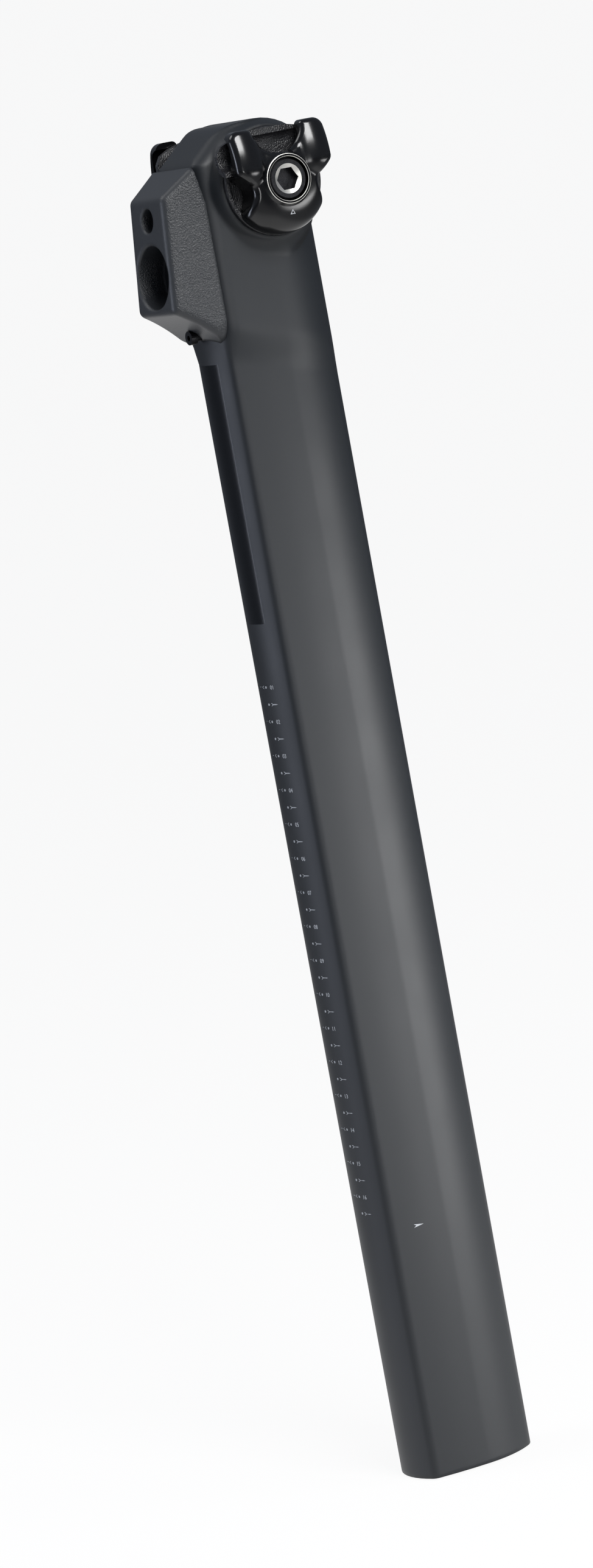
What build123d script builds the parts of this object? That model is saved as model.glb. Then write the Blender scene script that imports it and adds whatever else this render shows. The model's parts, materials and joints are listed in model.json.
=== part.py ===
from build123d import *
import os
from math import asin, atan2, cos, degrees, radians, sin, sqrt

# Aerofoil seatpost with a side-clamp head and a rear electronics housing.
# Millimetres. +X is the rider's right, +Y forward, +Z up along the tube.
# The origin is the middle of the lower end: mid chord, mid thickness.

# Tube section
post_chord = 40.0
post_thickness = 23.2
post_rear_width = 20.0
thickest_from_rear = 20.6
rear_crown_radius = 19.0
rear_corner_radius = 2.6
nose_radius = 8.0
post_wall = 2.4

# Clamp axis: height above the lower end
clamp_height = 375.0

# Shoulder: where the slim tube swells into the neck, lower at the front
shoulder_drop = 47.0
shoulder_height = 11.0
shoulder_slope = 15.0

# Neck and head
neck_width = 26.0
neck_rear_width = 25.4
neck_crown_radius = 40.0
neck_corner_radius = 5.0
neck_nose_radius = 9.6
head_radius = 18.0
head_slope_angle = 39.0
head_slope_offset = 19.7
head_crown_radius = 15.0
head_rear_radius = 9.0
slope_edge_radius = 5.0
slope_edge_margin = 0.3
head_skin = 0.3

# Boss round the cross bore, with a flare that reaches down the neck
boss_half_width = 16.5
boss_rim_width = 0.3
boss_crease_inset = 0.8
boss_flare_reach = 15.0
boss_flare_drop = 22.2

# Cups in the cross bore
cup_radius = 15.3
cup_running_clearance = 0.05
cup_depth = 13.0
cup_wall = 2.8
cup_floor = 3.2
cup_proud = 0.3
cup_bead_width = 1.6
cup_bead_height = 1.0
cup_bead_radius = 0.6

# Saddle rails: oval section, spacing and height over the bolt
rail_spacing = 44.0
rail_width = 7.0
rail_height = 9.0
rail_corner_radius = 3.3
rail_rise = 9.3
trough_length = 34.0
trough_crown_radius = 36.0
trough_end_radius = 19.4
trough_wall = 1.5
trough_lower_lip = 3.2
trough_upper_lip = 1.6

# Ears
ear_wall = 3.55
ear_closed_gap = 4.7
ear_clearance = 0.35
ear_ring_radius = 7.0
ear_ring_height = 1.0
ear_ring_flare = 0.7
ear_ring_chamfer = 0.15
ear_crease_radius = 2.5
ear_rim_radius = 2.0
chin_radius = 15.2
chin_flat_radius = 6.5
chin_skirt = 1.4
horn_rise = 15.4
horn_over = 1.2
horn_reach = 15.2
horn_bottom = 3.4
horn_middle = 11.3
horn_crest = 4.0
horn_bulge = 0.4
horn_crown_radius = 9.0
horn_sweep_radius = 26.0
horn_foot_radius = 6.0
horn_foot_drop = 5.5
horn_top_corner = 3.0
horn_tip_corner = 1.6
horn_low_corner = 2.4
hook_depth = 2.5
saddle_radius = 7.9
waist_half_width = 9.6
waist_drop = 1.6
waist_corner = 3.6
lobe_half_width = 12.9
lobe_drop = 9.5
lobe_corner = 2.2
lobe_taper = 0.8

# Cross bolt, washer and nut
bolt_radius = 3.5
bolt_hole_clearance = 0.3
bolt_head_radius = 5.8
bolt_head_height = 2.8
bolt_head_chamfer = 0.4
bolt_socket_flats = 6.0
bolt_socket_depth = 2.8
bolt_socket_chamfer = 0.75
bolt_recess = 0.45
counterbore_clearance = 0.4
washer_radius = 6.0
washer_thickness = 0.75
nut_flats = 11.0
nut_height = 3.3
nut_pocket_clearance = 0.1
nut_sleeve_radius = 4.6
nut_sleeve_length = 18.0
nut_thread_clearance = 0.05
cup_hole_clearance = 0.35
bolt_tip_inset = 0.8

# Rear housing: heights are from the bolt, depths from the post's rear face
housing_depth_top = 10.0
housing_depth_bottom = 13.0
housing_rear_top = 0.9
housing_rear_bottom = -31.2
housing_ridge = 7.8
housing_neckline = -3.0
housing_hem = -42.6
housing_bottom_sag = 1.0
housing_lap = 1.7
housing_front_width = 26.8
housing_width_top = 20.6
housing_width_bottom = 22.8
housing_hem_corner = 8.0
housing_edge_radius = 2.4
socket_radius = 9.0
socket_depth = 8.5
socket_level = -20.8
socket_chamfer = 0.6
button_radius = 3.4
button_depth = 6.0
button_level = -4.9
button_chamfer = 0.35
wire_port_radius = 3.5

# Housing screw
screw_radius = 1.25
screw_head_radius = 2.0
screw_head_height = 2.0
screw_socket_flats = 1.5
screw_socket_depth = 1.2
screw_length = 7.0
screw_level = -39.4
screw_seat = 2.2
screw_clearance = 0.05
screw_access_clearance = 0.25

# Faces whose normals stray less than this from square count as walls
squareness = 0.01

# Places worked out from the sizes above
rear_y = -post_chord / 2
front_y = post_chord / 2
widest_y = rear_y + thickest_from_rear
clamp_y = front_y - head_radius
clamp_axis = Pos(0, clamp_y, clamp_height)
bore_radius = cup_radius + cup_running_clearance
rim_radius = bore_radius + boss_rim_width
cup_face = boss_half_width + cup_proud
rail_x = rail_spacing / 2
trough_floor = rail_x - rail_width / 2
lip_bottom = rail_rise - rail_height / 2 - trough_wall
ear_inner = trough_floor + ear_closed_gap
ear_face = ear_inner + ear_wall
ear_hook = ear_inner - hook_depth
ear_heel = cup_face + ear_clearance
ear_base = cup_face + cup_bead_height + ear_clearance
head_seat = ear_face - bolt_recess - bolt_head_height
washer_seat = head_seat - washer_thickness
nut_seat = ear_face - bolt_recess - nut_height
screw_place = Pos(0, rear_y, clamp_height + screw_level) * Rot(90, 0, 0)
reach = post_chord + housing_depth_bottom
from_base = (Align.CENTER, Align.CENTER, Align.MIN)


def blend(low, high, share):
    """Value between two sizes, eased at both ends."""
    return low + (high - low) * share * share * (3 - 2 * share)


def tube_section(share, inset=0.0):
    """Truncated aerofoil with a three-centred nose, from the slim tube (0) to the neck (1)."""
    half_rear = blend(post_rear_width, neck_rear_width, share) / 2 - inset
    half_side = blend(post_thickness, neck_width, share) / 2 - inset
    crown = blend(rear_crown_radius, neck_crown_radius, share)
    corner = blend(rear_corner_radius, neck_corner_radius, share)
    back = rear_y + inset
    corner_y = back + crown - sqrt(crown**2 - half_rear**2)
    tip = blend(nose_radius, neck_nose_radius, share) - inset
    nose = front_y - inset - widest_y
    flank = (half_side**2 + nose**2 - 2 * nose * tip) / (2 * (half_side - tip))
    turn = degrees(atan2(nose - tip, flank - half_side))
    with BuildSketch() as outline:
        with BuildLine():
            ThreePointArc((-half_rear, corner_y), (0, back), (half_rear, corner_y))
            TangentArc((half_side, widest_y), (half_rear, corner_y), tangent=(0, -1))
            TangentArc((-half_side, widest_y), (-half_rear, corner_y), tangent=(0, -1))
            CenterArc((half_side - flank, widest_y), flank, 0, turn)
            CenterArc((0, widest_y + nose - tip), tip, turn, 180 - 2 * turn)
            CenterArc((flank - half_side, widest_y), flank, 180 - turn, turn)
        make_face()
        fillet(outline.vertices().sort_by(Axis.Y)[:2], corner)
    return outline.sketch.face()


def sloped_plane(height):
    """Plane across the tube that drops towards the front."""
    lean = radians(shoulder_slope)
    return Plane(origin=(0, 0, height), x_dir=(1, 0, 0), z_dir=(0, sin(lean), cos(lean)))


def head_outline():
    """Side outline of the head: round front and top, flat sloping rear."""
    lean = radians(90 + head_slope_angle)
    top = head_radius - head_skin
    crown_y = clamp_y + (head_slope_offset - top * sin(lean)) / cos(lean)
    rear_z = (head_slope_offset - (rear_y - clamp_y) * cos(lean)) / sin(lean)
    bottom = -clamp_height
    with BuildSketch(Plane.YZ) as outline:
        with BuildLine():
            FilletPolyline(
                (front_y, bottom),
                (front_y, top),
                (crown_y, top),
                (rear_y, rear_z),
                (rear_y, bottom),
                radius=[0, top, head_crown_radius, head_rear_radius, 0],
                close=True,
            )
        make_face()
    return Pos(0, 0, clamp_height) * extrude(outline.sketch, neck_width, both=True)


def slope_rounding():
    """Prism along the sloping rear, to round its two long edges."""
    lean = radians(head_slope_angle)
    across = Plane(origin=clamp_axis.position, x_dir=(1, 0, 0), z_dir=(0, -cos(lean), -sin(lean)))
    with BuildSketch(across) as outline:
        with Locations((0, head_slope_offset)):
            Rectangle(neck_width + slope_edge_margin, 2 * clamp_height, align=(Align.CENTER, Align.MAX))
        fillet(outline.vertices().sort_by(Axis.Y)[-2:], slope_edge_radius)
    return extrude(outline.sketch, clamp_height, both=True)


def barrel():
    """Head round the cross bore: a cylinder with coned flanks."""
    crease = neck_width / 2 - boss_crease_inset
    with BuildSketch(Plane.XZ) as half:
        with BuildLine():
            Polyline(
                (-boss_half_width, 0),
                (-boss_half_width, rim_radius),
                (-crease, head_radius),
                (crease, head_radius),
                (boss_half_width, rim_radius),
                (boss_half_width, 0),
                close=True,
            )
        make_face()
    return revolve(half.sketch, Axis.X)


def flare(side):
    """Hollow flare from the rim down on to the neck's side."""
    foot = neck_width / 2 - boss_crease_inset / 2
    start = rim_radius - boss_rim_width
    rings = []
    for share in (0.0, 0.5, 1.0):
        x = foot + (boss_half_width - boss_rim_width - foot) * (1 - share) ** 2
        across = start + (boss_flare_reach - start) * share
        bottom = start + (boss_flare_drop - start) * share
        middle = (start - bottom) / 2
        place = Plane(origin=(side * x, 0, middle), x_dir=(0, 1, 0), z_dir=(side, 0, 0))
        rings.append(place * Ellipse(across, (start + bottom) / 2))
    return loft(rings)


def make_body():
    """Outside of the moulded post: tube, shoulder, neck and head."""
    shoulder_mid = clamp_height - shoulder_drop
    shoulder_low = shoulder_mid - shoulder_height / 2
    shoulder_high = shoulder_mid + shoulder_height / 2
    tube = extrude(tube_section(0), clamp_height)
    tube = split(tube, bisect_by=sloped_plane(shoulder_low), keep=Keep.BOTTOM)
    neck = extrude(tube_section(1), clamp_height + 2 * head_radius)
    neck = split(neck, bisect_by=sloped_plane(shoulder_high), keep=Keep.TOP)
    neck = neck & head_outline() & slope_rounding()
    slices = []
    for share in (0.0, 0.3, 0.7, 1.0):
        prism = extrude(tube_section(share), clamp_height)
        height = shoulder_low + shoulder_height * share
        slices.append(section(prism, section_by=sloped_plane(height)).face())
    shoulder = loft(slices)
    head = barrel() + flare(1) + flare(-1)
    return tube + shoulder + neck + clamp_axis * head


def make_post(body):
    """Cross bore, hollow tube, wire port and screw hole."""
    cavity_top = clamp_height - boss_flare_drop - 2 * post_wall
    cavity = extrude(tube_section(0, inset=post_wall), cavity_top)
    bore = clamp_axis * Rot(0, 90, 0) * Cylinder(bore_radius, 4 * boss_half_width)
    port = Pos(0, rear_y, clamp_height + socket_level) * Rot(90, 0, 0)
    wire_port = port * Cylinder(wire_port_radius, 4 * post_wall)
    screw_hole = screw_place * Cylinder(screw_radius + screw_clearance, 4 * post_wall)
    return body - bore - cavity - wire_port - screw_hole


def along_x(start, end, radius):
    """Round bar on the bolt's axis."""
    return Pos(start, 0, 0) * Rot(0, 90, 0) * Cylinder(radius, end - start, align=from_base)


def hexagon(start, end, flats):
    """Hexagonal bar on the bolt's axis."""
    outline = RegularPolygon(flats / 2, 6, major_radius=False, rotation=30)
    return Pos(start, 0, 0) * Rot(0, 90, 0) * extrude(outline, end - start)


def on_side(solid, side):
    """Right-hand solid, or its mirror image, moved to the clamp's axis."""
    if side < 0:
        solid = mirror(solid, about=Plane.YZ)
    return clamp_axis * solid


def rail_prism(x_middle, wall, length):
    """Prism along Y of the rail's oval, grown by a wall."""
    with BuildSketch(Plane.XZ) as oval:
        with Locations((x_middle, rail_rise)):
            RectangleRounded(rail_width + 2 * wall, rail_height + 2 * wall, rail_corner_radius + wall)
    return extrude(oval.sketch, length / 2, both=True)


def make_cup(side):
    """Plug that turns in the head's bore, with the rail trough outside it."""
    plug_start = cup_face - cup_depth
    bead_top = cup_face + cup_bead_height
    half_height = rail_height / 2 + trough_wall
    plug = along_x(plug_start, bead_top, cup_radius)
    plug -= along_x(cup_face, bead_top, cup_radius - cup_bead_width)
    plug = fillet(plug.edges().group_by(Axis.X)[-1], cup_bead_radius)
    plug -= along_x(plug_start, cup_face - cup_floor, cup_radius - cup_wall)
    upper = Pos(trough_floor + trough_upper_lip, 0, rail_rise) * Box(
        rail_width, trough_length, half_height, align=(Align.MIN, Align.CENTER, Align.MIN)
    )
    lower = Pos(trough_floor + trough_lower_lip, 0, rail_rise) * Box(
        rail_width, trough_length, half_height, align=(Align.MIN, Align.CENTER, Align.MAX)
    )
    crown_middle = rail_rise + half_height - trough_crown_radius
    crown = Pos(0, 0, crown_middle) * along_x(0, 2 * rail_x, trough_crown_radius)
    trough = rail_prism(rail_x, trough_wall, trough_length) - upper - lower
    trough = trough & crown & along_x(0, 2 * rail_x, trough_end_radius)
    web = along_x(cup_face - cup_proud, trough_floor, cup_radius) & (
        Pos(trough_floor, 0, rail_rise) * Box(rail_width, trough_length, 2 * half_height - 2 * trough_wall)
    )
    cup = plug + trough + web
    cup -= rail_prism(rail_x, 0, 2 * trough_length)
    cup -= along_x(0, rail_x + rail_width, nut_sleeve_radius + cup_hole_clearance)
    return on_side(cup, side)


def ear_outline():
    """Outline of the ear across the bolt: round saddle, two horns, waist and chin lobes."""
    half = [
        (lobe_half_width * lobe_taper, -2 * chin_radius, 0),
        (lobe_half_width, -lobe_drop, lobe_corner),
        (waist_half_width, -waist_drop, waist_corner),
        (horn_reach, horn_bottom, horn_low_corner),
        (horn_reach, horn_rise, horn_top_corner),
    ]
    ring = half + [(-y, z, radius) for y, z, radius in reversed(half)]
    with BuildSketch(Plane.YZ) as outline:
        with BuildLine():
            FilletPolyline(
                *[(y, z) for y, z, radius in ring],
                radius=[radius for y, z, radius in ring],
                close=True,
            )
        make_face()
        with Locations((0, horn_rise)):
            Circle(saddle_radius, mode=Mode.SUBTRACT)
        tops = outline.vertices().group_by(Axis.Y)[-1]
        fillet(sorted(tops, key=lambda corner: abs(corner.X))[:2], horn_tip_corner)
    return extrude(outline.sketch, 2 * ear_face)


def ear_chin():
    """Domed chin, revolved about the bolt."""
    round_x = ear_base + chin_skirt
    crown_x = ear_face - ear_ring_height
    with BuildSketch(Plane.XZ) as half:
        with BuildLine():
            Polyline((ear_base, 0), (crown_x, 0), (crown_x, chin_flat_radius))
            EllipticalCenterArc(
                (round_x, chin_flat_radius),
                crown_x - round_x,
                chin_radius - chin_flat_radius,
                start_angle=0,
                arc_size=90,
            )
            Polyline((round_x, chin_radius), (ear_base, chin_radius), (ear_base, 0))
        make_face()
    return revolve(half.sketch, Axis.X)


def ear_horn(sign):
    """One horn, bulged both ways: an upright sweep turned about an upright axis."""
    crest_x = ear_face + horn_bulge
    axis_x = crest_x - horn_crown_radius
    top = horn_rise + horn_over
    foot = horn_crest - horn_foot_drop
    rise = degrees(asin((top - horn_crest) / horn_sweep_radius))
    fall = degrees(asin(horn_foot_drop / horn_foot_radius))
    with BuildSketch(Plane.XZ.offset(-sign * horn_middle)) as half:
        with BuildLine():
            upper = CenterArc((crest_x - horn_sweep_radius, horn_crest), horn_sweep_radius, 0, rise)
            lower = CenterArc((crest_x - horn_foot_radius, horn_crest), horn_foot_radius, -fall, fall)
            Polyline(upper @ 1, (axis_x, top), (axis_x, foot), lower @ 0)
        make_face()
    horn = revolve(half.sketch, Axis((axis_x, sign * horn_middle, 0), (0, 0, 1)))
    return horn - along_x(-ear_face, ear_hook, 2 * ear_face)


def edges_between(some_faces, other_faces):
    """Edges that faces of one group share with faces of another."""
    shared = [edge for face in other_faces for edge in face.edges()]
    return [edge for face in some_faces for edge in face.edges() if edge in shared]


def ear_skin(outline):
    """Outside of the ear: horns rolled into the chin, and every rim rounded."""
    skin = outline & (ear_chin() + ear_horn(1) + ear_horn(-1))
    outward = [face for face in skin.faces() if face.normal_at().X > squareness]
    lowest = min(outward, key=lambda face: face.bounding_box().min.Z)
    horns = [face for face in outward if face.bounding_box().max.X > ear_face]
    skin = fillet(edges_between(horns, [lowest]), ear_crease_radius)
    walls = [face for face in skin.faces() if abs(face.normal_at().X) < squareness]
    outward = [face for face in skin.faces() if face.normal_at().X > squareness]
    rim = [edge for edge in edges_between(outward, walls) if edge.bounding_box().max.X > ear_inner]
    rim = [edge for edge in rim if edge.bounding_box().size.X > squareness]
    return fillet(rim, ear_rim_radius)


def make_ear(side):
    """Forged outer jaw: domed chin, raised ring and two hooked horns."""
    lip_room = Pos(0, 0, lip_bottom - ear_clearance) * Box(
        2 * (trough_floor + trough_lower_lip + ear_clearance),
        4 * horn_reach,
        rail_rise - lip_bottom,
        align=from_base,
    )
    rail_way = Pos(0, 0, rail_rise) * Box(2 * ear_inner - rail_width, 4 * horn_reach, rail_height)
    outline = ear_outline()
    heel_radius = cup_radius - cup_bead_width - ear_clearance
    ear = ear_skin(outline) + (outline & along_x(ear_heel, ear_base + chin_skirt, heel_radius))
    ring = Pos(ear_face - 2 * ear_ring_height, 0, 0) * Rot(0, 90, 0) * Cone(
        ear_ring_radius + 2 * ear_ring_flare, ear_ring_radius, 2 * ear_ring_height, align=from_base
    )
    ear += outline & chamfer(ring.edges().sort_by(Axis.X)[-1], ear_ring_chamfer)
    ear -= rail_prism(ear_inner - rail_width / 2, 0, 4 * horn_reach)
    ear -= rail_way
    ear -= lip_room
    if side > 0:
        counterbore = bolt_head_radius + counterbore_clearance
        ear -= along_x(0, ear_face, bolt_radius + bolt_hole_clearance)
        ear -= along_x(washer_seat, ear_face, counterbore)
        ear -= Pos(ear_face - ear_ring_chamfer, 0, 0) * Rot(0, 90, 0) * Cone(
            counterbore, counterbore + ear_ring_chamfer, ear_ring_chamfer, align=from_base
        )
    else:
        ear -= along_x(0, ear_face, nut_sleeve_radius + nut_pocket_clearance)
        ear -= hexagon(nut_seat, ear_face, nut_flats + 2 * nut_pocket_clearance)
    return on_side(ear, side)


def make_bolt():
    """Cross bolt with a hexagon socket, from the right-hand ear to the nut."""
    face = head_seat + bolt_head_height
    bolt_head = along_x(head_seat, face, bolt_head_radius)
    bolt_head = chamfer(bolt_head.edges().sort_by(Axis.X)[-1], bolt_head_chamfer)
    mouth = bolt_socket_flats / sqrt(3) + bolt_socket_chamfer
    bolt_head -= hexagon(face - bolt_socket_depth, face, bolt_socket_flats)
    bolt_head -= Pos(face - bolt_socket_chamfer, 0, 0) * Rot(0, 90, 0) * Cone(
        mouth - 2 * bolt_socket_chamfer, mouth, bolt_socket_chamfer, align=from_base
    )
    shank = along_x(bolt_tip_inset - face, head_seat, bolt_radius)
    return clamp_axis * (bolt_head + shank)


def make_washer():
    """Flat washer under the bolt's head."""
    washer = along_x(washer_seat, head_seat, washer_radius)
    return clamp_axis * (washer - along_x(washer_seat, head_seat, bolt_radius + bolt_hole_clearance))


def make_nut():
    """Hexagon nut with a long sleeve, in the left-hand ear."""
    nut = hexagon(nut_seat, nut_seat + nut_height, nut_flats)
    nut += along_x(nut_seat - nut_sleeve_length, nut_seat, nut_sleeve_radius)
    nut -= along_x(0, ear_face, bolt_radius + nut_thread_clearance)
    return on_side(nut, -1)


def housing_rear(level):
    """Plane on the housing's leaning rear face at a height from the bolt."""
    run = housing_depth_bottom - housing_depth_top
    rise = housing_rear_top - housing_rear_bottom
    depth = housing_depth_top + run * (housing_rear_top - level) / rise
    centre = (0, rear_y - depth, clamp_height + level)
    return Plane(origin=centre, x_dir=(1, 0, 0), z_dir=(0, -rise, run))


def housing_plan(level):
    """Plan of the housing at a height from the bolt: narrow rear, wide front."""
    share = (housing_rear_top - level) / (housing_rear_top - housing_rear_bottom)
    half_rear = (housing_width_top + (housing_width_bottom - housing_width_top) * share) / 2
    half_front = housing_front_width / 2
    rear = housing_rear(level).origin.Y
    front = rear_y + housing_lap
    corners = [(half_rear, rear), (half_front, front), (-half_front, front), (-half_rear, rear)]
    return Pos(0, 0, clamp_height + level) * make_face(Polyline(*corners, close=True))


def housing_block():
    """Housing before its sockets: plan, side outline and hem together."""
    front = rear_y + housing_lap
    top_rear = (rear_y - housing_depth_top, housing_rear_top)
    low_rear = (rear_y - housing_depth_bottom, housing_rear_bottom)
    low_middle = (
        (front + low_rear[0]) / 2,
        (housing_hem + housing_rear_bottom) / 2 + housing_bottom_sag,
    )
    with BuildSketch(Plane.YZ) as profile:
        with BuildLine():
            Polyline(
                (front, housing_hem),
                (front, housing_neckline),
                (rear_y, housing_ridge),
                top_rear,
                low_rear,
            )
            ThreePointArc(low_rear, low_middle, (front, housing_hem))
        make_face()
    side = Pos(0, 0, clamp_height) * extrude(profile.sketch, housing_front_width, both=True)
    margin = housing_hem_corner
    plan = loft([housing_plan(housing_hem - margin), housing_plan(housing_ridge + margin)], ruled=True)
    block = plan & side
    rear_edges = [edge for edge in block.edges() if edge.center().Y < rear_y - housing_lap]
    block = fillet(rear_edges, housing_edge_radius)
    with BuildSketch(Plane.XZ) as hem:
        with Locations((0, housing_hem)):
            Rectangle(housing_front_width, 2 * clamp_height, align=(Align.CENTER, Align.MIN))
        fillet(hem.vertices().sort_by(Axis.Y)[:2], housing_hem_corner)
    return block & Pos(0, 0, clamp_height) * extrude(hem.sketch, reach, both=True)


def make_housing(body):
    """Moulded holder on the rear of the neck, with two round sockets."""
    housing = housing_block() - body
    for level, radius, depth, mouth in (
        (socket_level, socket_radius, socket_depth, socket_chamfer),
        (button_level, button_radius, button_depth, button_chamfer),
    ):
        housing -= housing_rear(level) * Cylinder(radius, 2 * depth)
        housing -= housing_rear(level) * Cone(radius, radius + 2 * mouth, 2 * mouth)
    port = Pos(0, rear_y, clamp_height + socket_level) * Rot(90, 0, 0)
    housing -= port * Cylinder(wire_port_radius, housing_depth_bottom - socket_depth / 2, align=from_base)
    housing -= screw_place * Cylinder(screw_radius + screw_clearance, 2 * screw_seat)
    access = Pos(0, 0, screw_seat) * Cylinder(
        screw_head_radius + screw_access_clearance, housing_depth_bottom, align=from_base
    )
    return housing - screw_place * access


def make_screw():
    """Socket-head screw that holds the housing."""
    top = screw_seat + screw_head_height
    screw = Pos(0, 0, screw_seat) * Cylinder(screw_head_radius, screw_head_height, align=from_base)
    screw += Pos(0, 0, screw_seat - screw_length) * Cylinder(screw_radius, screw_length, align=from_base)
    key = RegularPolygon(screw_socket_flats / 2, 6, major_radius=False)
    screw -= Pos(0, 0, top - screw_socket_depth) * extrude(key, screw_socket_depth)
    return screw_place * screw


if __name__ == "__main__":
    os.makedirs("parts", exist_ok=True)
    body = make_body()
    pieces = {
        "post": make_post(body),
        "right_cup": make_cup(1),
        "left_cup": make_cup(-1),
        "right_ear": make_ear(1),
        "left_ear": make_ear(-1),
        "clamp_bolt": make_bolt(),
        "bolt_washer": make_washer(),
        "clamp_nut": make_nut(),
        "rear_housing": make_housing(body),
        "housing_screw": make_screw(),
    }
    for name, piece in pieces.items():
        export_step(piece, f"parts/{name}.step")
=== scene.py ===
import json
import math

import bmesh
import bpy
from bpy.props import FloatProperty, FloatVectorProperty, IntProperty, PointerProperty
from mathutils import Matrix, Vector


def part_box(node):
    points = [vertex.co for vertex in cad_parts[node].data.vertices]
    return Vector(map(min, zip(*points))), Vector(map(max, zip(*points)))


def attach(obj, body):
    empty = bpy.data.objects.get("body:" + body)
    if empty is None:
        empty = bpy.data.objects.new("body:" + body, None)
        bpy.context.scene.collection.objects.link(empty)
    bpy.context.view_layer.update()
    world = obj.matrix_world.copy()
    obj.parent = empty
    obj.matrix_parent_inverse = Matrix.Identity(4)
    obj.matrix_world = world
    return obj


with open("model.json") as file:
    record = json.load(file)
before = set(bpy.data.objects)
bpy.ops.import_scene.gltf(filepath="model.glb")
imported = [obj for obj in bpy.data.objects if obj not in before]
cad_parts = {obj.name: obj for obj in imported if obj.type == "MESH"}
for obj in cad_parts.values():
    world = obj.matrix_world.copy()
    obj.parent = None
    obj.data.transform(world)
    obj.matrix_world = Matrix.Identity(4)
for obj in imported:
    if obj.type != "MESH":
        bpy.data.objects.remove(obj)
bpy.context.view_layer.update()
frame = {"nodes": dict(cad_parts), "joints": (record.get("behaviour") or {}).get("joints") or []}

bl_info = {
    "name": "Aerofoil seatpost",
    "version": (1, 0, 0),
    "blender": (4, 5, 0),
    "location": "View3D > Sidebar > Seatpost",
    "description": "Finishes, scale print and studio for a side-clamp aerofoil seatpost",
    "category": "Object",
}

MM = 0.001
nodes = frame["nodes"]

# The colour sockets of a Mix node: two inputs and the output.
MIX_A, MIX_B, MIX_OUT = 6, 7, 2

# Pattern sizes in millimetres.
PEEL_MM = 0.7
PEEL_DEPTH_MM = 0.02
CLOUD_MM = 18.0
WEAR_MM = 0.25
WAVE_MM = 3.0
GRIT_MM = 0.4
GRIT_DEPTH_MM = 0.25
SPECK_MM = 0.3
GRAIN_DEPTH_MM = 0.3

# How far the lacquer's sheen changes, its colour in the peel's hollows, and that of thin ink.
SHEEN_CHANGE, HOLLOW_SHARE, THIN_SHARE = 0.04, 0.82, 0.7

# The rear face lies behind this, in millimetres along Y.
REAR_MM = -16.0

# From where a mark is dropped onto its surface.
DROP = 20 * MM

# Corners of a printed dot, a dart's notch and the triangle's open middle as shares of their sizes.
DOT_CORNERS = 16
NOTCH_SHARE, TRIANGLE_OPEN = 0.25, 0.6

# How squarely the ring's chamfers face sideways, and how far they may stray from that.
CHAMFER_FACING, CHAMFER_STRAY = 0.7, 0.2

# The scale's first mark, and how far right of it and below it the camera aims.
FIRST_MARK = Vector((0, -0.020, 0.2341))
AIM_RIGHT, AIM_DOWN = 0.00358, 0.02856
PICTURE_HEIGHT_MM = 36.0

# Paper sweep: half the floor, the straight run to the curve, the curve and the wall.
FLOOR_HALF, SWEEP_REACH, SWEEP_RADIUS, WALL_HEIGHT = 16.0, 6.0, 0.5, 1.6
SWEEP_STEPS = 8
FLOOR_DROP = 0.0005

# White path in reflections: half its width, how that grows with depth, its soft edge, and where
# it starts and is full.
PATH_HALF, PATH_SPREAD, PATH_EDGE = 0.17, 0.085, 0.2
PATH_START, PATH_FULL = -0.45, -0.2

# How much of the paper's white is its own, the rest being lit, so that a soft shadow stays.
OWN_WHITE = 0.92


def linear(code):
    """Linear colour from an sRGB hex value."""
    parts = [int(code[i:i + 2], 16) / 255 for i in (1, 3, 5)]
    return tuple(c / 12.92 if c <= 0.04045 else ((c + 0.055) / 1.055) ** 2.4 for c in parts)


def axle():
    """A point on the clamp bolt's centre line, from the tilt hinge in the record."""
    for joint in frame["joints"]:
        if joint["name"] == "saddle_tilt":
            return Vector(joint["pos_m"])
    raise RuntimeError("the record has no saddle_tilt joint")


def add_node(tree, kind, inputs=None, **settings):
    """Add a node, set it up, and fill or link its inputs."""
    node = tree.nodes.new(kind)
    for key, value in settings.items():
        setattr(node, key, value)
    for key, value in (inputs or {}).items():
        if isinstance(value, bpy.types.NodeSocket):
            tree.links.new(value, node.inputs[key])
        else:
            node.inputs[key].default_value = value
    return node


def new_material(name):
    """Empty node material and its node tree."""
    material = bpy.data.materials.new(name)
    material.use_nodes = True
    material.node_tree.nodes.clear()
    return material, material.node_tree


def finish_material(tree, shader):
    """Wire a shader into the material's output."""
    add_node(tree, "ShaderNodeOutputMaterial", {"Surface": shader})


def place_in_mm(tree):
    """The part's own coordinates in millimetres, so that patterns have real sizes."""
    spot = add_node(tree, "ShaderNodeTexCoord").outputs["Object"]
    scaled = add_node(tree, "ShaderNodeVectorMath", {0: spot, "Scale": 1 / MM}, operation="SCALE")
    return scaled.outputs[0]


def radius_in_mm(tree, place):
    """Distance from the clamp bolt's centre line, in millimetres."""
    offset = add_node(tree, "ShaderNodeVectorMath", {
        0: place, 1: axle() / MM}, operation="SUBTRACT")
    flat = add_node(tree, "ShaderNodeVectorMath", {
        0: offset.outputs[0], 1: (0, 1, 1)}, operation="MULTIPLY")
    radius = add_node(tree, "ShaderNodeVectorMath", {0: flat.outputs[0]}, operation="LENGTH")
    return radius.outputs["Value"]


def side_facing(tree):
    """How squarely a surface faces sideways: 1 for a flat side, 0 for a wall along the bolt."""
    normal = add_node(tree, "ShaderNodeTexCoord").outputs["Normal"]
    axes = add_node(tree, "ShaderNodeSeparateXYZ", {0: normal})
    return add_node(tree, "ShaderNodeMath", {0: axes.outputs["X"]}, operation="ABSOLUTE").outputs[0]


def dress(names, material):
    """Give CAD nodes a material."""
    for name in names:
        mesh = nodes[name].data
        mesh.materials.clear()
        mesh.materials.append(material)


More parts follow.
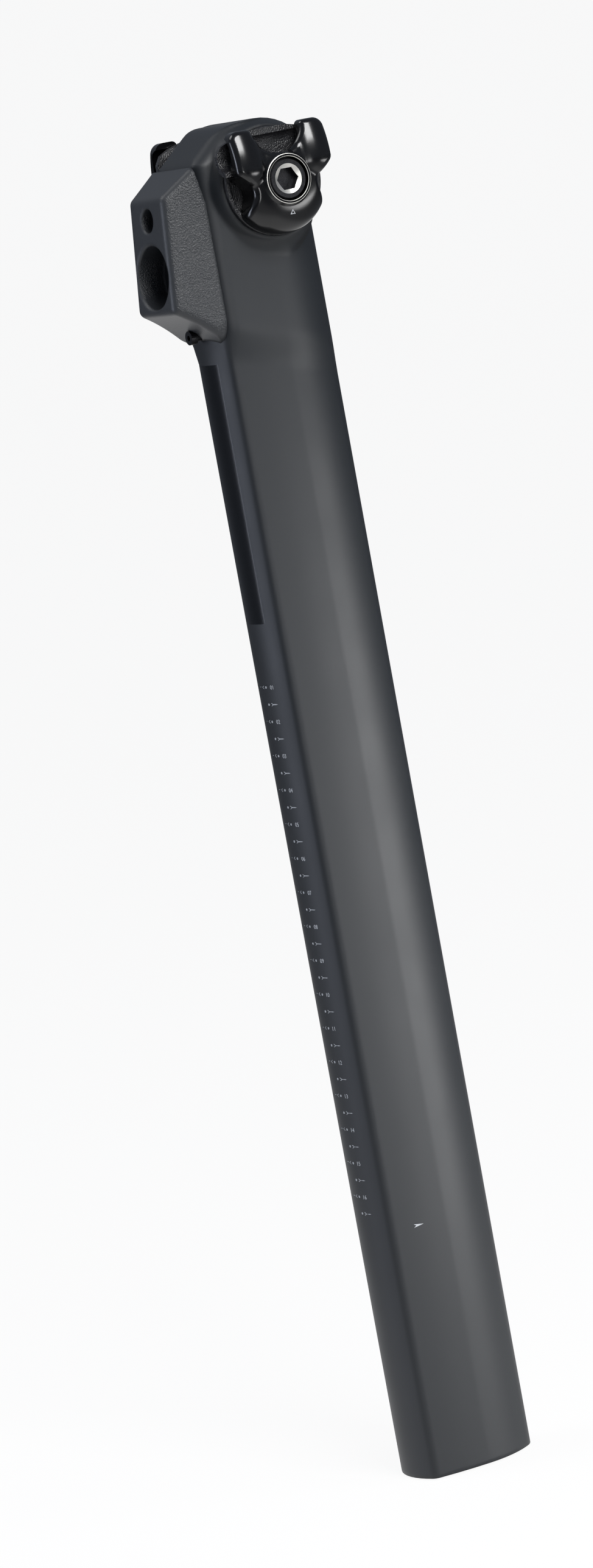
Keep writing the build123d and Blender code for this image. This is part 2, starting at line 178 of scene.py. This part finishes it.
def lay_on(sheet, surface, place, points, faces, lift):
    """Lay flat points on a surface, along the place's own normal, and add their faces."""
    toward = -(place.to_3x3() @ Vector((0, 0, 1)))
    verts = []
    for across, up in points:
        hit, spot, normal, _ = surface.ray_cast(place @ Vector((across, up, DROP)), toward)
        if not hit:
            raise RuntimeError(f"a mark misses {surface.name}")
        verts.append(sheet.verts.new(spot + normal * lift))
    for face in faces:
        sheet.faces.new([verts[i] for i in face])


def figures(text, height):
    """Points and faces of upright figures, with their left end and middle at the origin."""
    curve = bpy.data.curves.new("Figures", "FONT")
    curve.body = text
    curve.resolution_u = 3
    stand_in = bpy.data.objects.new("Figures", curve)
    bpy.context.scene.collection.objects.link(stand_in)
    depsgraph = bpy.context.evaluated_depsgraph_get()
    mesh = bpy.data.meshes.new_from_object(stand_in.evaluated_get(depsgraph))
    left = min(v.co.x for v in mesh.vertices)
    low = min(v.co.y for v in mesh.vertices)
    high = max(v.co.y for v in mesh.vertices)
    scale = height / (high - low)
    middle = (low + high) / 2
    points = [((v.co.x - left) * scale, (v.co.y - middle) * scale) for v in mesh.vertices]
    faces = [list(face.vertices) for face in mesh.polygons]
    bpy.data.meshes.remove(mesh)
    bpy.data.objects.remove(stand_in)
    bpy.data.curves.remove(curve)
    return points, faces


def finish_print(sheet, name, material, body, thickness):
    """Turn laid faces into thin closed ink that moves with a body."""
    bmesh.ops.recalc_face_normals(sheet, faces=sheet.faces[:])
    bmesh.ops.solidify(sheet, geom=sheet.faces[:], thickness=thickness)
    mesh = bpy.data.meshes.new(name)
    sheet.to_mesh(mesh)
    sheet.free()
    mesh.materials.append(material)
    obj = bpy.data.objects.new(name, mesh)
    bpy.context.scene.collection.objects.link(obj)
    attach(obj, body)


class PostSettings(bpy.types.PropertyGroup):
    """Finish of the moulded post."""

    lacquer: FloatVectorProperty(
        name="Lacquer", description="Colour of the satin lacquer", subtype="COLOR",
        size=3, min=0, max=1, default=linear("#11151a"),
    )
    roughness: FloatProperty(
        name="Roughness", description="Roughness of the satin lacquer", subtype="FACTOR",
        min=0, max=1, default=0.5,
    )
    band_colour: FloatVectorProperty(
        name="Band colour", description="Colour under the gloss band's lacquer", subtype="COLOR",
        size=3, min=0, max=1, default=linear("#0a0c10"),
    )
    band_roughness: FloatProperty(
        name="Band roughness", description="Roughness of the gloss band", subtype="FACTOR",
        min=0, max=1, default=0.16,
    )
    band_top: FloatProperty(
        name="Band top", description="Upper end of the gloss band on the rear face",
        unit="LENGTH", default=0.327,
    )
    band_bottom: FloatProperty(
        name="Band bottom", description="Lower end of the gloss band on the rear face",
        unit="LENGTH", default=0.2524,
    )
    band_half_width: FloatProperty(
        name="Band half width", description="Half the width of the gloss band",
        unit="LENGTH", default=0.005,
    )
    edge: FloatProperty(
        name="Edge", description="Radius that the lacquer gives to the moulded edges",
        unit="LENGTH", default=0.002,
    )


class PrintSettings(bpy.types.PropertyGroup):
    """Height scale on the rear face, and the two small marks."""

    ink: FloatVectorProperty(
        name="Ink", description="Colour of the printed marks", subtype="COLOR",
        size=3, min=0, max=1, default=linear("#b4b7bb"),
    )
    first_height: FloatProperty(
        name="First mark", description="Height of the first numbered mark",
        unit="LENGTH", default=0.2341,
    )
    pitch: FloatProperty(
        name="Pitch", description="Step between numbered marks", unit="LENGTH", default=0.010,
    )
    count: IntProperty(name="Marks", description="Number of numbered marks", min=1, default=16)
    dot: FloatProperty(
        name="Dot", description="Diameter of the dot in each mark", unit="LENGTH", default=0.0007,
    )
    dart_start: FloatProperty(
        name="Dart start", description="From the dot's middle to the dart's tail",
        unit="LENGTH", default=0.0012,
    )
    dart_length: FloatProperty(
        name="Dart length", description="Length of each dart", unit="LENGTH", default=0.0031,
    )
    dart_height: FloatProperty(
        name="Dart height", description="Height of each dart at its tail",
        unit="LENGTH", default=0.001,
    )
    figure_start: FloatProperty(
        name="Figure start", description="From the dot's middle to the figures",
        unit="LENGTH", default=0.0022,
    )
    figure_height: FloatProperty(
        name="Figure height", description="Height of the figures", unit="LENGTH", default=0.0012,
    )
    side_height: FloatProperty(
        name="Side dart", description="Height of the dart on the right-hand side",
        unit="LENGTH", default=0.0738,
    )
    side_from_rear: FloatProperty(
        name="Side dart inset", description="From the rear face to the side dart's tail",
        unit="LENGTH", default=0.0099,
    )
    triangle: FloatProperty(
        name="Triangle", description="Width of the triangle on the right-hand ear",
        unit="LENGTH", default=0.0016,
    )
    triangle_drop: FloatProperty(
        name="Triangle drop", description="From the bolt down to the triangle's middle",
        unit="LENGTH", default=0.0095,
    )
    thickness: FloatProperty(
        name="Thickness", description="Thickness of the ink, drawn thicker than real to stay clear",
        unit="LENGTH", default=0.00006,
    )


class ClampSettings(bpy.types.PropertyGroup):
    """Finish of the clamp."""

    ear_black: FloatVectorProperty(
        name="Ear black", description="Dye colour of the ears' anodised skin", subtype="COLOR",
        size=3, min=0, max=1, default=linear("#050506"),
    )
    cup_black: FloatVectorProperty(
        name="Cup black", description="Colour of the blasted cups", subtype="COLOR",
        size=3, min=0, max=1, default=linear("#1a1a1c"),
    )
    oxide_dark: FloatVectorProperty(
        name="Dark oxide", description="Darkest specks of the blackened steel", subtype="COLOR",
        size=3, min=0, max=1, default=linear("#141416"),
    )
    oxide_light: FloatVectorProperty(
        name="Light oxide", description="Lightest specks of the blackened steel", subtype="COLOR",
        size=3, min=0, max=1, default=linear("#4a4a4c"),
    )
    # Pale metal of the painted highlights on the ears' rings and round the bolt's key hole.
    painted: FloatVectorProperty(
        name="Bare metal", description="Cut aluminium and steel", subtype="COLOR",
        size=3, min=0, max=1, default=linear("#dedcd6"),
    )
    ring_radius: FloatProperty(
        name="Ring radius", description="Outer radius of the raised ring's bright edges",
        unit="LENGTH", default=0.00702,
    )
    socket_radius: FloatProperty(
        name="Socket radius", description="Radius of the bare cut round the bolt's key hole",
        unit="LENGTH", default=0.00422,
    )
    socket_depth: FloatProperty(
        name="Socket depth", description="How far the bare cut reaches down from the bolt's face",
        unit="LENGTH", default=0.0007,
    )


class HousingSettings(bpy.types.PropertyGroup):
    """Finish of the rear housing."""

    plastic: FloatVectorProperty(
        name="Plastic", description="Colour of the moulded plastic", subtype="COLOR",
        size=3, min=0, max=1, default=linear("#27292c"),
    )
    grain: FloatProperty(
        name="Grain", description="Grain size of the spark-eroded sides",
        unit="LENGTH", default=0.00045,
    )
    edge: FloatProperty(
        name="Edge", description="Radius that the moulded edges appear to have",
        unit="LENGTH", default=0.0012,
    )


class StudioSettings(bpy.types.PropertyGroup):
    """Camera and light."""

    azimuth: FloatProperty(
        name="Azimuth", description="Camera's angle round the post, from straight behind",
        subtype="ANGLE", default=math.radians(61.926),
    )
    elevation: FloatProperty(
        name="Elevation", description="Camera's angle above level",
        subtype="ANGLE", default=math.radians(7.497),
    )
    roll: FloatProperty(
        name="Roll", description="Camera's turn about its own line of sight",
        subtype="ANGLE", default=math.radians(10.367),
    )
    distance: FloatProperty(
        name="Distance", description="From the camera to the first mark of the scale",
        unit="LENGTH", default=1.5963,
    )
    lens: FloatProperty(
        name="Lens", description="Focal length for a 36 mm high picture", default=128.83,
    )
    tube_power: FloatProperty(
        name="Tube light", description="Power of the low box beside the tube",
        unit="POWER", default=0.48,
    )
    head_power: FloatProperty(
        name="Head light", description="Power of the high box for the clamp",
        unit="POWER", default=10.0,
    )
    rear_power: FloatProperty(
        name="Rear light", description="Power of the box behind the post",
        unit="POWER", default=3.8,
    )
    top_power: FloatProperty(
        name="Top light", description="Power of the overhead box", unit="POWER", default=3.2,
    )
    front_power: FloatProperty(
        name="Front light", description="Power of the small box facing the housing",
        unit="POWER", default=0.15,
    )


class SEATPOST_OT_post(bpy.types.Operator):
    """Dress the moulded post"""

    bl_idname = "seatpost.post"
    bl_label = "Moulded post"

    def execute(self, context):
        props = context.scene.seatpost_post
        # Carbon fibre, moulded, satin black lacquer: a soft wide sheen with a fine orange peel.
        material, tree = new_material("Carbon fibre, moulded, satin lacquer")
        place = place_in_mm(tree)
        peel = add_node(tree, "ShaderNodeTexNoise", {
            "Vector": place, "Scale": 1 / PEEL_MM, "Detail": 3.0})
        cloud = add_node(tree, "ShaderNodeTexNoise", {
            "Vector": place, "Scale": 1 / CLOUD_MM, "Detail": 2.0})
        axes = add_node(tree, "ShaderNodeSeparateXYZ", {0: place})
        # The gloss band: a clear panel on the rear face, as a mask from the part's own coordinates.
        half = props.band_half_width / MM
        across = add_node(tree, "ShaderNodeMath", {
            0: axes.outputs["X"], 1: 0.0, 2: half}, operation="COMPARE")
        middle = (props.band_top + props.band_bottom) / 2 / MM
        length = (props.band_top - props.band_bottom) / 2 / MM
        along = add_node(tree, "ShaderNodeMath", {
            0: axes.outputs["Z"], 1: middle, 2: length}, operation="COMPARE")
        behind = add_node(tree, "ShaderNodeMath", {
            0: axes.outputs["Y"], 1: REAR_MM}, operation="LESS_THAN")
        band = add_node(tree, "ShaderNodeMath", {
            0: across.outputs[0], 1: along.outputs[0]}, operation="MULTIPLY")
        band = add_node(tree, "ShaderNodeMath", {
            0: band.outputs[0], 1: behind.outputs[0]}, operation="MULTIPLY")
        sheen = add_node(tree, "ShaderNodeMapRange", {
            "Value": cloud.outputs["Fac"],
            "To Min": props.roughness - SHEEN_CHANGE, "To Max": props.roughness + SHEEN_CHANGE})
        rough = add_node(tree, "ShaderNodeMix", {
            "Factor": band.outputs[0], "A": sheen.outputs[0], "B": props.band_roughness},
            data_type="FLOAT")
        dark = [c * HOLLOW_SHARE for c in props.lacquer] + [1]
        tone = add_node(tree, "ShaderNodeMix", {
            "Factor": peel.outputs["Fac"], MIX_A: dark, MIX_B: [*props.lacquer, 1]},
            data_type="RGBA")
        tone = add_node(tree, "ShaderNodeMix", {
            "Factor": band.outputs[0], MIX_A: tone.outputs[MIX_OUT],
            MIX_B: [*props.band_colour, 1]}, data_type="RGBA")
        # Lacquer fills and rounds the moulded edges.
        edges = add_node(tree, "ShaderNodeBevel", {"Radius": props.edge}, samples=8)
        bump = add_node(tree, "ShaderNodeBump", {
            "Height": peel.outputs["Fac"], "Strength": 0.06, "Distance": PEEL_DEPTH_MM * MM,
            "Normal": edges.outputs[0]})
        shader = add_node(tree, "ShaderNodeBsdfPrincipled", {
            "Base Color": tone.outputs[MIX_OUT], "Roughness": rough.outputs[0], "IOR": 1.5,
            "Normal": bump.outputs[0]})
        finish_material(tree, shader.outputs[0])
        dress(["post"], material)
        return {"FINISHED"}


class SEATPOST_OT_marks(bpy.types.Operator):
    """Print the height scale, the side dart and the ear's triangle"""

    bl_idname = "seatpost.marks"
    bl_label = "Printed marks"

    def execute(self, context):
        props = context.scene.seatpost_marks
        # Ink, pad printed, silver grey: flat and pale, with a little wear where it is thin.
        material, tree = new_material("Ink, pad printed, silver grey")
        wear = add_node(tree, "ShaderNodeTexNoise", {
            "Vector": place_in_mm(tree), "Scale": 1 / WEAR_MM, "Detail": 2.0})
        thin = [c * THIN_SHARE for c in props.ink] + [1]
        tone = add_node(tree, "ShaderNodeMix", {
            "Factor": wear.outputs["Fac"], MIX_A: thin, MIX_B: [*props.ink, 1]}, data_type="RGBA")
        shader = add_node(tree, "ShaderNodeBsdfPrincipled", {
            "Base Color": tone.outputs[MIX_OUT], "Roughness": 0.5})
        finish_material(tree, shader.outputs[0])

        lift = props.thickness / 2
        tail, tip = props.dart_start, props.dart_start + props.dart_length
        notch = tail + props.dart_length * NOTCH_SHARE
        half = props.dart_height / 2
        dart = [(tip, 0), (tail, half), (notch, 0), (tail, -half)]
        dart_faces = [(0, 1, 2), (0, 2, 3)]
        turns = [math.tau * step / DOT_CORNERS for step in range(DOT_CORNERS)]
        dot = [(props.dot / 2 * math.cos(turn), props.dot / 2 * math.sin(turn)) for turn in turns]

        post = nodes["post"]
        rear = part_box("post")[0][1]
        behind = Matrix(((1, 0, 0), (0, 0, -1), (0, 1, 0))).to_4x4()
        sheet = bmesh.new()
        for mark in range(2 * props.count):
            height = props.first_height - mark * props.pitch / 2
            place = Matrix.Translation((0, rear, height)) @ behind
            lay_on(sheet, post, place, dot, [range(len(dot))], lift)
            if mark % 2:
                lay_on(sheet, post, place, dart, dart_faces, lift)
                continue
            lay_on(sheet, post, place, [(-across, up) for across, up in dart], dart_faces, lift)
            points, faces = figures(f"{mark // 2 + 1:02d}", props.figure_height)
            points = [(across + props.figure_start, up) for across, up in points]
            lay_on(sheet, post, place, points, faces, lift)
        finish_print(sheet, "height_scale", material, "post", props.thickness)

        beside = Matrix(((0, 0, 1), (1, 0, 0), (0, 1, 0))).to_4x4()
        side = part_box("post")[1][0]
        inset = rear + props.side_from_rear - tail
        place = Matrix.Translation((side, inset, props.side_height)) @ beside
        sheet = bmesh.new()
        lay_on(sheet, post, place, dart, dart_faces, lift)
        finish_print(sheet, "side_dart", material, "post", props.thickness)

        ear = nodes["right_ear"]
        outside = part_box("right_ear")[1][0]
        middle = axle() + Vector((outside, 0, -props.triangle_drop))
        place = Matrix.Translation(middle) @ beside
        corners = [math.radians(turn) for turn in (90, 210, 330)]
        outer = props.triangle / math.sqrt(3)
        rings = [
            (radius * math.cos(turn), radius * math.sin(turn))
            for radius in (outer, outer * TRIANGLE_OPEN) for turn in corners]
        sheet = bmesh.new()
        lay_on(sheet, ear, place, rings, [(0, 1, 4, 3), (1, 2, 5, 4), (2, 0, 3, 5)], lift)
        finish_print(sheet, "ear_triangle", material, "right_jaw", props.thickness)
        return {"FINISHED"}


class SEATPOST_OT_clamp(bpy.types.Operator):
    """Dress the ears, cups, bolt, washer, nut and the housing's screw"""

    bl_idname = "seatpost.clamp"
    bl_label = "Rail clamp"

    def execute(self, context):
        props = context.scene.seatpost_clamp
        painted = [*props.painted, 1]

        # Aluminium, forged, polished and black anodised: deep black with soft-edged reflections,
        # and a painted highlight in pale metal on the ring's thin chamfers.
        material, tree = new_material("Aluminium, forged, polished black anodised")
        place = place_in_mm(tree)
        waves = add_node(tree, "ShaderNodeTexNoise", {
            "Vector": place, "Scale": 1 / WAVE_MM, "Detail": 2.0})
        rough = add_node(tree, "ShaderNodeMapRange", {
            "Value": waves.outputs["Fac"], "To Min": 0.17, "To Max": 0.21})
        skin = add_node(tree, "ShaderNodeBsdfPrincipled", {
            "Base Color": [*props.ear_black, 1], "Roughness": rough.outputs[0]})
        glint = add_node(tree, "ShaderNodeBsdfPrincipled", {
            "Base Color": painted, "Metallic": 1.0, "Roughness": 0.6})
        # Painted highlight: chamfers inside the ring's radius get pale metal in place of the black
        # skin.
        near = add_node(tree, "ShaderNodeMath", {
            0: radius_in_mm(tree, place), 1: props.ring_radius / MM}, operation="LESS_THAN")
        chamfer = add_node(tree, "ShaderNodeMath", {
            0: side_facing(tree), 1: CHAMFER_FACING, 2: CHAMFER_STRAY}, operation="COMPARE")
        edge = add_node(tree, "ShaderNodeMath", {
            0: near.outputs[0], 1: chamfer.outputs[0]}, operation="MULTIPLY")
        shader = add_node(tree, "ShaderNodeMixShader", {
            0: edge.outputs[0], 1: skin.outputs[0], 2: glint.outputs[0]})
        finish_material(tree, shader.outputs[0])
        dress(["right_ear", "left_ear"], material)

        # Aluminium, blasted and anodised: matt black that glitters in its grit.
        # The grit is drawn coarser than real, so that it shows.
        material, tree = new_material("Aluminium, blasted black anodised")
        place = place_in_mm(tree)
        grit = add_node(tree, "ShaderNodeTexNoise", {
            "Vector": place, "Scale": 1 / GRIT_MM, "Detail": 2.0})
        bump = add_node(tree, "ShaderNodeBump", {
            "Height": grit.outputs["Fac"], "Strength": 1.0, "Distance": GRIT_DEPTH_MM * MM})
        shader = add_node(tree, "ShaderNodeBsdfPrincipled", {
            "Base Color": [*props.cup_black, 1], "Roughness": 0.3, "Normal": bump.outputs[0]})
        finish_material(tree, shader.outputs[0])
        dress(["right_cup", "left_cup"], material)

        # Steel, turned and blackened: speckled dark head, with a painted highlight in pale metal
        # round the key hole.
        # The specks are drawn coarser than real, so that they show.
        material, tree = new_material("Steel, turned, black oxide")
        place = place_in_mm(tree)
        speck = add_node(tree, "ShaderNodeTexNoise", {
            "Vector": place, "Scale": 1 / SPECK_MM, "Detail": 3.0})
        tone = add_node(tree, "ShaderNodeMix", {
            "Factor": speck.outputs["Fac"], MIX_A: [*props.oxide_dark, 1],
            MIX_B: [*props.oxide_light, 1]}, data_type="RGBA")
        # Painted highlight: the face round the key hole, inside socket_radius, gets pale metal.
        inside = add_node(tree, "ShaderNodeMath", {
            0: radius_in_mm(tree, place), 1: props.socket_radius / MM}, operation="LESS_THAN")
        axes = add_node(tree, "ShaderNodeSeparateXYZ", {0: place})
        face = (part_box("clamp_bolt")[1][0] - props.socket_depth) / MM
        outside = add_node(tree, "ShaderNodeMath", {
            0: axes.outputs["X"], 1: face}, operation="GREATER_THAN")
        glint = add_node(tree, "ShaderNodeMath", {
            0: inside.outputs[0], 1: outside.outputs[0]}, operation="MULTIPLY")
        tone = add_node(tree, "ShaderNodeMix", {
            "Factor": glint.outputs[0], MIX_A: tone.outputs[MIX_OUT], MIX_B: painted}, data_type="RGBA")
        shader = add_node(tree, "ShaderNodeBsdfPrincipled", {
            "Base Color": tone.outputs[MIX_OUT], "Metallic": 1.0, "Roughness": 0.38})
        finish_material(tree, shader.outputs[0])
        dress(["clamp_bolt", "bolt_washer", "clamp_nut", "housing_screw"], material)
        return {"FINISHED"}


class SEATPOST_OT_housing(bpy.types.Operator):
    """Dress the rear housing"""

    bl_idname = "seatpost.housing"
    bl_label = "Rear housing"

    def execute(self, context):
        props = context.scene.seatpost_housing
        # Glass-filled nylon, injection moulded: spark-eroded grain on the sides, weaker elsewhere.
        # The grain is drawn coarser than real, so that it shows, and the edges look rounded.
        material, tree = new_material("Glass-filled nylon, moulded, spark grain")
        place = place_in_mm(tree)
        grain = add_node(tree, "ShaderNodeTexNoise", {
            "Vector": place, "Scale": MM / props.grain, "Detail": 2.0})
        coarse = add_node(tree, "ShaderNodeMapRange", {
            "Value": side_facing(tree),
            "From Min": 0.75, "From Max": 0.9, "To Min": 0.15, "To Max": 1.0})
        edges = add_node(tree, "ShaderNodeBevel", {"Radius": props.edge}, samples=6)
        bump = add_node(tree, "ShaderNodeBump", {
            "Height": grain.outputs["Fac"], "Strength": coarse.outputs[0],
            "Distance": GRAIN_DEPTH_MM * MM, "Normal": edges.outputs[0]})
        shader = add_node(tree, "ShaderNodeBsdfPrincipled", {
            "Base Color": [*props.plastic, 1], "Roughness": 0.42, "IOR": 1.5,
            "Normal": bump.outputs[0]})
        finish_material(tree, shader.outputs[0])
        dress(["rear_housing"], material)
        return {"FINISHED"}


class SEATPOST_OT_studio(bpy.types.Operator):
    """Set the camera, lights, floor and backdrop"""

    bl_idname = "seatpost.studio"
    bl_label = "Studio"

    def execute(self, context):
        scene = context.scene
        props = scene.seatpost_studio
        scene.view_settings.view_transform = "Standard"
        az, el, roll = props.azimuth, props.elevation, props.roll
        right = Vector((math.cos(az), math.sin(az), 0))
        up = Vector((-math.sin(az) * math.sin(el), math.cos(az) * math.sin(el), math.cos(el)))
        back = Vector((math.sin(az) * math.cos(el), -math.cos(az) * math.cos(el), math.sin(el)))
        aim = FIRST_MARK + AIM_RIGHT * right - AIM_DOWN * up
        cam_right = right * math.cos(roll) - up * math.sin(roll)
        cam_up = right * math.sin(roll) + up * math.cos(roll)
        data = bpy.data.cameras.new("Camera")
        data.sensor_fit = "VERTICAL"
        data.sensor_height = PICTURE_HEIGHT_MM
        data.lens = props.lens
        camera = bpy.data.objects.new("Camera", data)
        pose = Matrix((cam_right, cam_up, back)).transposed().to_4x4()
        pose.translation = aim + props.distance * back
        camera.matrix_world = pose
        scene.collection.objects.link(camera)
        scene.camera = camera

        # The tube box stands where the flank's front half mirrors the camera. Its grid, as on a
        # studio softbox, keeps its light off the clamp. Each line holds what the box lights, the
        # way to it, its distance, its size and the angle its grid lets through.
        for name, target, way, distance, size, spread, power, colour in (
            ("Tube box", (0, 0, 0.11), (0.77, 0.64, 0.0), 0.65, (0.38, 0.26), 50,
             props.tube_power, "#ffffff"),
            ("Head box", (0, 0, 0.38), (0.82, 0.0, 0.57), 0.9, (0.42, 0.42), 180,
             props.head_power, "#ffffff"),
            ("Rear box", (0, 0, 0.2), (-0.38, -0.925, 0.0), 1.0, (0.3, 0.7), 180,
             props.rear_power, "#e6edff"),
            ("Top box", (0, 0, 0.3), (-0.3, -0.5, 0.8), 1.1, (0.5, 0.5), 180,
             props.top_power, "#ffffff"),
            ("Front box", (0, 0, 0.34), (0.95, -0.3, -0.1), 1.1, (0.25, 0.25), 60,
             props.front_power, "#ffffff"),
        ):
            way = Vector(way).normalized()
            lamp = bpy.data.lights.new(name, "AREA")
            lamp.shape = "RECTANGLE"
            lamp.size, lamp.size_y = size
            lamp.spread = math.radians(spread)
            lamp.energy = power
            lamp.color = linear(colour)
            box = bpy.data.objects.new(name, lamp)
            box.location = Vector(target) + way * distance
            box.rotation_euler = way.to_track_quat("Z", "Y").to_euler()
            scene.collection.objects.link(box)

        world = bpy.data.worlds.new("Studio")
        world.use_nodes = True
        room = world.node_tree.nodes["Background"]
        room.inputs["Color"].default_value = [*linear("#7c828c"), 1]
        room.inputs["Strength"].default_value = 1.0
        scene.world = world

        # Paper, matt: white to the camera, and white in reflections where the post stands.
        # Away from the post, reflections show plain grey paper under the studio's light.
        material, tree = new_material("Paper, matt white")
        rays = add_node(tree, "ShaderNodeLightPath")
        mirrored = add_node(tree, "ShaderNodeMath", {
            0: rays.outputs["Is Glossy Ray"], 1: rays.outputs["Is Transmission Ray"]},
            operation="MAXIMUM")
        near = add_node(tree, "ShaderNodeAttribute", attribute_name="near_post").outputs["Fac"]
        mirrored = add_node(tree, "ShaderNodeMath", {
            0: mirrored.outputs[0], 1: near}, operation="MULTIPLY")
        seen = add_node(tree, "ShaderNodeMath", {
            0: rays.outputs["Is Camera Ray"], 1: mirrored.outputs[0]}, operation="MAXIMUM")
        share = add_node(tree, "ShaderNodeMath", {
            0: seen.outputs[0], 1: OWN_WHITE}, operation="MULTIPLY")
        tone = add_node(tree, "ShaderNodeMix", {
            "Factor": near, MIX_A: [*linear("#a8a8a8"), 1], MIX_B: [*linear("#f3f3f3"), 1]},
            data_type="RGBA")
        paper = add_node(tree, "ShaderNodeBsdfDiffuse", {"Color": tone.outputs[MIX_OUT]})
        glow = add_node(tree, "ShaderNodeEmission", {"Color": (1, 1, 1, 1), "Strength": 1.0})
        mixed = add_node(tree, "ShaderNodeMixShader", {
            0: share.outputs[0], 1: paper.outputs[0], 2: glow.outputs[0]})
        finish_material(tree, mixed.outputs[0])
        mesh = bpy.data.meshes.new("Paper sweep")
        sheet = bmesh.new()
        near_post = sheet.verts.layers.float.new("near_post")
        ahead = Vector((-back.x, -back.y, 0)).normalized()
        side = Vector((-ahead.y, ahead.x, 0))
        rows = [
            (-FLOOR_HALF, 0.0, 0), (PATH_START, 0.0, 0), (PATH_FULL, 0.0, 1), (0.0, 0.0, 1),
            (SWEEP_REACH, 0.0, 1)]
        for step in range(1, SWEEP_STEPS + 1):
            turn = math.radians(90 * step / SWEEP_STEPS)
            rows.append((
                SWEEP_REACH + SWEEP_RADIUS * math.sin(turn),
                SWEEP_RADIUS * (1 - math.cos(turn)), 1))
        rows.append((SWEEP_REACH + SWEEP_RADIUS, WALL_HEIGHT, 1))
        lines = []
        for depth, height, white in rows:
            half = PATH_HALF + PATH_SPREAD * max(depth, 0.0)
            line = []
            for across, inside in (
                (-FLOOR_HALF, 0), (-half - PATH_EDGE, 0), (-half, 1),
                (half, 1), (half + PATH_EDGE, 0), (FLOOR_HALF, 0),
            ):
                level = Vector((0, 0, height - FLOOR_DROP))
                vert = sheet.verts.new(ahead * depth + side * across + level)
                vert[near_post] = inside * white
                line.append(vert)
            lines.append(line)
        for low, high in zip(lines, lines[1:]):
            for i in range(len(low) - 1):
                sheet.faces.new((low[i], low[i + 1], high[i + 1], high[i])).smooth = True
        sheet.to_mesh(mesh)
        sheet.free()
        mesh.materials.append(material)
        floor = bpy.data.objects.new("Paper sweep", mesh)
        scene.collection.objects.link(floor)
        return {"FINISHED"}


class SEATPOST_PT_panel(bpy.types.Panel):
    """Seatpost pieces"""

    bl_idname = "SEATPOST_PT_panel"
    bl_label = "Seatpost"
    bl_space_type = "VIEW_3D"
    bl_region_type = "UI"
    bl_category = "Seatpost"

    def draw(self, context):
        for name in STEPS:
            self.layout.operator(f"seatpost.{name}")


STEPS = ("post", "marks", "clamp", "housing", "studio")
GROUPS = {
    "seatpost_post": PostSettings,
    "seatpost_marks": PrintSettings,
    "seatpost_clamp": ClampSettings,
    "seatpost_housing": HousingSettings,
    "seatpost_studio": StudioSettings,
}
CLASSES = (
    *GROUPS.values(),
    SEATPOST_OT_post,
    SEATPOST_OT_marks,
    SEATPOST_OT_clamp,
    SEATPOST_OT_housing,
    SEATPOST_OT_studio,
    SEATPOST_PT_panel,
)


def register():
    """Add the classes and their settings."""
    for cls in CLASSES:
        bpy.utils.register_class(cls)
    for name, group in GROUPS.items():
        setattr(bpy.types.Scene, name, PointerProperty(type=group))


def unregister():
    """Take the classes and their settings away."""
    for name in GROUPS:
        delattr(bpy.types.Scene, name)
    for cls in reversed(CLASSES):
        bpy.utils.unregister_class(cls)


def main():
    """Dress the part and set the studio."""
    register()
    for name in STEPS:
        getattr(bpy.ops.seatpost, name)()


if __name__ == "__main__":
    main()
